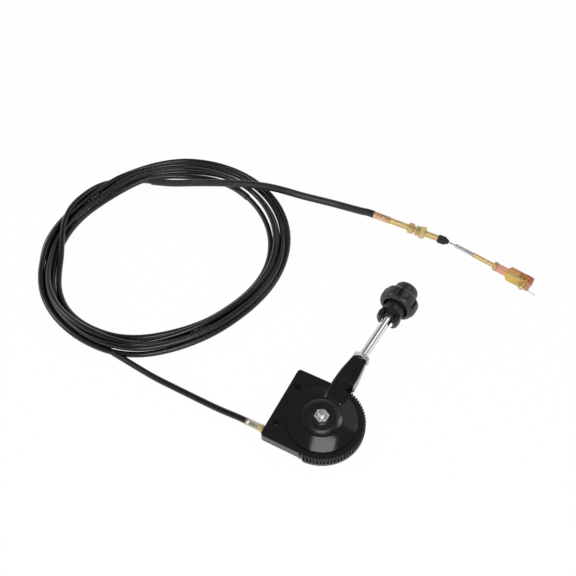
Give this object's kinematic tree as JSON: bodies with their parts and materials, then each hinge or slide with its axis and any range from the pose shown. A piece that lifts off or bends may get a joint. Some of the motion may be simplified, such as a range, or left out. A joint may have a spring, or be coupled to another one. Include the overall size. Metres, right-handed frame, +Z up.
{
  "type": "throttle cable",
  "caption": "Hand throttle control: lever with a lift-collar lock on a toothed base, a coiled push-pull cable, and a bulkhead fitting with a clevis at its end.",
  "frame": {"origin": "on the lever's pivot axis at the underside of the base", "axes": "+Z up out of the base along the pivot axis, X to the right and Y away in the picture"},
  "size_m": [0.5799, 0.4305, 0.0433],
  "materials": {
    "casting": "gloss black paint on a casting",
    "knob_black": "moulded black plastic",
    "cable_jacket": "black extruded jacket, satin",
    "rubber": "black moulded rubber",
    "fibre": "friction fibre",
    "drum": "moulded drum",
    "chrome": "bright plated rod",
    "zinc": "bright zinc plate",
    "steel": "plain steel",
    "nickel": "dull plated ferrule",
    "yellow_zinc": "yellow passivated zinc plate",
    "red_zinc": "iridescent zinc plate, pink to red"
  },
  "bodies": {
    "head": {"base_housing": "casting", "bottom_cover": "casting", "cover_screw_1": "zinc", "cover_screw_2": "zinc", "cover_screw_3": "zinc", "cover_screw_4": "zinc", "core_wire_head": "steel", "pivot_stud": "zinc", "friction_washer": "fibre", "pivot_nut": "zinc", "head_ferrule": "nickel", "cable_lead_head": "cable_jacket", "cable_coil": "cable_jacket", "end_sleeve": "cable_jacket", "crimp_ferrule": "red_zinc", "threaded_tube": "yellow_zinc", "bulkhead_nut_1": "yellow_zinc", "bulkhead_nut_2": "yellow_zinc", "lock_washer_1": "yellow_zinc", "lock_washer_2": "yellow_zinc", "wiper_cap": "rubber"},
    "lever": {"lever_hub": "casting", "cable_drum": "drum", "core_nipple": "steel", "disc_spring": "steel", "pressure_cap": "casting", "lever_rod": "chrome", "rod_jam_nut": "zinc", "knob": "knob_black", "knob_cap": "knob_black", "lock_spring": "steel"},
    "lock": {"lock_pawl": "steel", "release_rod": "steel", "collar_pin": "steel", "lift_collar": "knob_black"},
    "core": {"inner_wire": "steel", "core_sleeve": "zinc", "end_rod": "yellow_zinc", "clevis_jam_nut": "yellow_zinc", "clevis": "red_zinc", "clevis_pin": "yellow_zinc", "pin_washer": "yellow_zinc", "split_pin": "steel"}
  },
  "joints": [
    {"name": "lever_swing", "type": "hinge", "parent": "head", "child": "lever", "pos_m": [0, 0, 0], "axis": [0, 0, 1], "range_deg": [-100.97, 0], "deforming": ["core_wire_head"]},
    {"name": "lock_lift", "type": "slide", "parent": "lever", "child": "lock", "axis": [0.5439, 0.8376, 0.0506], "range_m": [-0.0018, 0.0022], "stiffness_N_per_m": 400, "springref_m": -0.0018, "deforming": ["lock_spring"]},
    {"name": "core_travel", "type": "slide", "parent": "head", "child": "core", "axis": [0.8796, -0.4756, 0], "range_m": [0, 0.0582]}
  ],
  "couplings": [
    {"joint": "core_travel", "follows": "lever_swing", "m_per_rad": -0.033}
  ]
}
